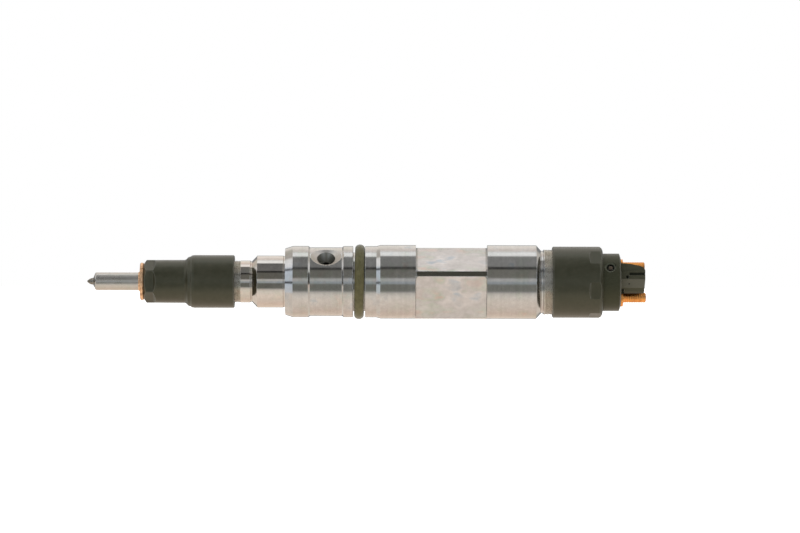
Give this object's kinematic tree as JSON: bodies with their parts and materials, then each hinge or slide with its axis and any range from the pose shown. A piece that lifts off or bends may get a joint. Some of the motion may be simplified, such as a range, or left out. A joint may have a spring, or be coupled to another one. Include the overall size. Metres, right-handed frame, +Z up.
{
  "type": "common rail diesel fuel injector",
  "caption": "Long turned-steel diesel fuel injector with nozzle, copper seal, black union nuts, side inlet cone, clamp flats, O-ring, solenoid and screw terminals.",
  "frame": {"origin": "on the injector's axis, halfway between the nozzle tip and the end of the longer terminal", "axes": "+X along the axis from the nozzle towards the terminals, -Y towards the side that shows the clamp flats, +Z up with the inlet in the upper front quarter"},
  "size_m": [0.2234, 0.03, 0.03],
  "materials": {
    "turned_steel": "turned steel, fine circumferential lines, cloudy warm stains",
    "hard_steel": "ground hardened steel",
    "black_steel": "black phosphated steel, satin, olive cast",
    "copper": "bright copper",
    "terminal_copper": "orange copper-plated thread",
    "spring_steel": "drawn spring wire",
    "soft_iron": "dark sintered iron",
    "olive_rubber": "olive fluoro-rubber, satin",
    "dark_plastic": "glass-filled moulded plastic, dark olive grey",
    "bobbin_plastic": "natural moulded plastic",
    "plug_sealant": "brown sealant"
  },
  "bodies": {
    "injector": {"injector_body": "turned_steel", "magnet_sleeve": "turned_steel", "air_gap_disc": "turned_steel", "nozzle_body": "hard_steel", "nozzle_dowel_a": "hard_steel", "nozzle_dowel_b": "hard_steel", "nozzle_spring_shim": "hard_steel", "valve_body": "hard_steel", "armature_guide": "hard_steel", "armature_lift_shim": "hard_steel", "valve_spring_shim": "hard_steel", "nozzle_nut": "black_steel", "solenoid_nut": "black_steel", "sealing_washer": "copper", "valve_seal_ring": "copper", "coil_winding": "copper", "coil_lead_a": "copper", "coil_lead_b": "copper", "terminal_stud_a": "terminal_copper", "terminal_stud_b": "terminal_copper", "nozzle_spring": "spring_steel", "armature_spring": "spring_steel", "valve_spring": "spring_steel", "valve_clamp_nut": "soft_iron", "magnet_core": "soft_iron", "body_o_ring": "olive_rubber", "solenoid_o_ring": "olive_rubber", "connector_top": "dark_plastic", "coil_bobbin": "bobbin_plastic", "vent_plug": "plug_sealant"},
    "plunger": {"control_plunger": "hard_steel"},
    "needle": {"nozzle_needle": "hard_steel", "spring_seat": "hard_steel"},
    "armature": {"armature_pin": "hard_steel", "armature_lock_washer": "hard_steel", "armature_lock_sleeve": "hard_steel"},
    "ball": {"valve_ball": "hard_steel", "ball_guide": "hard_steel"},
    "plate": {"armature_plate": "soft_iron"}
  },
  "joints": [
    {"name": "plunger_lift", "type": "slide", "parent": "injector", "child": "plunger", "axis": [1, 0, 0], "range_m": [0, 0.0003]},
    {"name": "needle_lift", "type": "slide", "parent": "injector", "child": "needle", "axis": [1, 0, 0], "range_m": [0, 0.0003], "deforming": ["nozzle_spring"]},
    {"name": "armature_lift", "type": "slide", "parent": "injector", "child": "armature", "axis": [1, 0, 0], "range_m": [0, 0.00005], "deforming": ["valve_spring"]},
    {"name": "ball_lift", "type": "slide", "parent": "injector", "child": "ball", "axis": [1, 0, 0], "range_m": [0, 0.00005]},
    {"name": "plate_overtravel", "type": "slide", "parent": "armature", "child": "plate", "axis": [-1, 0, 0], "range_m": [0, 0.00003], "deforming": ["armature_spring"]}
  ],
  "couplings": [
    {"joint": "needle_lift", "follows": "plunger_lift", "ratio": 1},
    {"joint": "ball_lift", "follows": "armature_lift", "ratio": 1}
  ]
}
